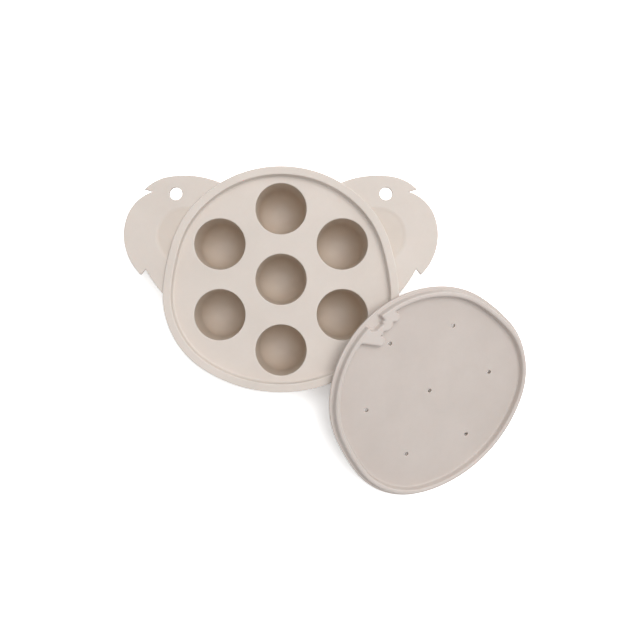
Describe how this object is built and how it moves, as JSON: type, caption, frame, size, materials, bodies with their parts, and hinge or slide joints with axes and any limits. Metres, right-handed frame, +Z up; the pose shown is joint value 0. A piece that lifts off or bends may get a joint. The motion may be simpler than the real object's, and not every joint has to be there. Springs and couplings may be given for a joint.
{
  "type": "baby food freezer tray",
  "caption": "Soft silicone portion tray in the shape of an animal's head, with round pots, ear tabs with hanging holes and a vented plug-in lid that leans on its rim.",
  "frame": {"origin": "centre of the middle pot's flat foot, on the surface that the tray stands on", "axes": "+Z up, out of the pots; +Y towards the crown of the head; +X towards the right ear"},
  "size_m": [0.3341, 0.2704, 0.0658],
  "materials": {
    "tray_silicone": "matte",
    "lid_silicone": "matte"
  },
  "bodies": {
    "tray": {"pot_tray": "tray_silicone", "left_ear": "tray_silicone", "right_ear": "tray_silicone"},
    "lid": {"vented_lid": "lid_silicone"}
  },
  "joints": [
    {"name": "lid_lift", "type": "slide", "parent": "tray", "child": "lid", "axis": [0, 0, 1], "range_m": [0, 0.15]}
  ]
}
